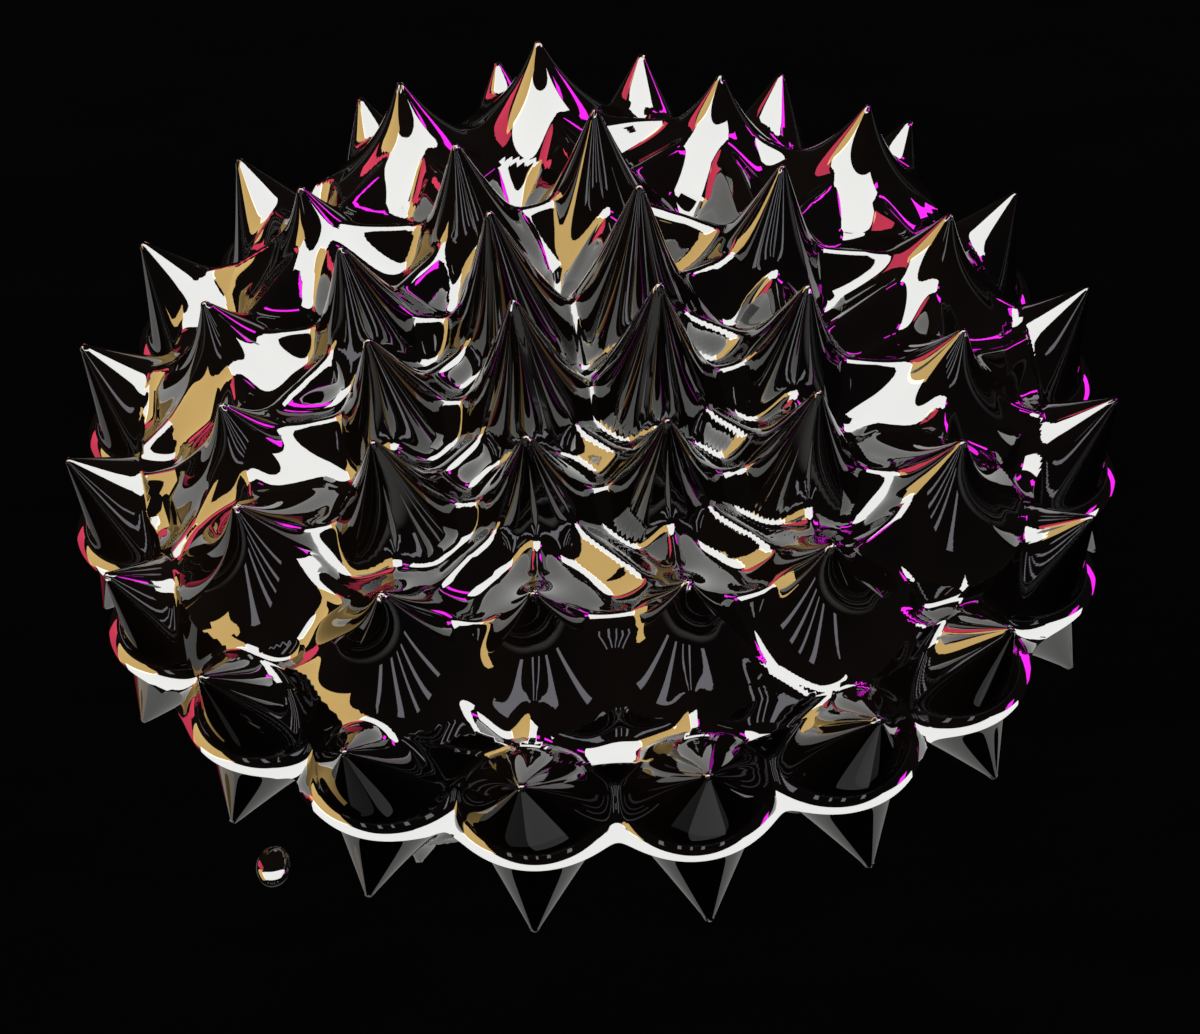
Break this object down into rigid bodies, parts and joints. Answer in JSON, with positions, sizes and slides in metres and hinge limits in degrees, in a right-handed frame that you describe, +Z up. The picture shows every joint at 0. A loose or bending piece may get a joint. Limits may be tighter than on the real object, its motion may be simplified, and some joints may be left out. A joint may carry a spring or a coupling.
{
  "type": "ferrofluid desk sculpture",
  "caption": "Spiked pool of black magnetic liquid on a round black glass dish, over a magnet that a side knob lowers by rack and pinion inside the drum base.",
  "frame": {"origin": "middle of the underside of the pad, where the object stands on the desk", "axes": "+Z up out of the dish, -Y towards the viewer, +X towards the knob"},
  "size_m": [0.1668, 0.151, 0.076],
  "materials": {
    "black_glass": "polished",
    "ferrofluid": "wet",
    "black_anodised": "satin",
    "plain_aluminium": "milled",
    "knob_aluminium": "turned",
    "ground_steel": "ground",
    "zinc_steel": "zinc plated",
    "black_steel": "black oxide",
    "nickel_plate": "bright",
    "bronze": "sintered",
    "brass": "machined",
    "rubber": "matt",
    "silicone": "matt",
    "washer_nylon": "matt"
  },
  "bodies": {
    "base": {"base_pad": "rubber", "base_plate": "plain_aluminium", "base_shell": "black_anodised", "seat_ring": "plain_aluminium", "deck_plate": "plain_aluminium", "dish_gasket": "silicone", "base_screws": "black_steel", "deck_screws": "black_steel", "bracket_screws": "black_steel", "guide_rod_front": "ground_steel", "guide_rod_rear": "ground_steel", "lower_stops": "rubber", "upper_stops": "rubber", "shaft_bracket": "plain_aluminium", "shaft_bush_inner": "bronze", "shaft_bush_outer": "bronze"},
    "carriage": {"magnet": "nickel_plate", "magnet_cup": "zinc_steel", "carriage": "plain_aluminium", "cup_screws": "black_steel", "guide_bush_front": "bronze", "guide_bush_rear": "bronze", "rack": "ground_steel", "rack_screws": "black_steel"},
    "drive": {"pinion": "brass", "pinion_set_screw": "black_steel", "drive_shaft": "ground_steel", "retaining_clip": "ground_steel", "friction_washer": "washer_nylon", "knob": "knob_aluminium", "knob_set_screw": "black_steel"},
    "dish": {"dish": "black_glass", "ferrofluid": "ferrofluid"}
  },
  "joints": [
    {"name": "magnet_lift", "type": "slide", "parent": "base", "child": "carriage", "axis": [0, 0, 1], "range_m": [-0.018, 0], "deforming": ["ferrofluid"]},
    {"name": "knob_turn", "type": "hinge", "parent": "base", "child": "drive", "pos_m": [0.0827, 0, 0.0287], "axis": [1, 0, 0], "range_deg": [-129, 0]},
    {"name": "dish_lift", "type": "slide", "parent": "base", "child": "dish", "axis": [0, 0, 1], "range_m": [0, 0.04]}
  ],
  "couplings": [
    {"joint": "knob_turn", "follows": "magnet_lift", "rad_per_m": 125}
  ]
}
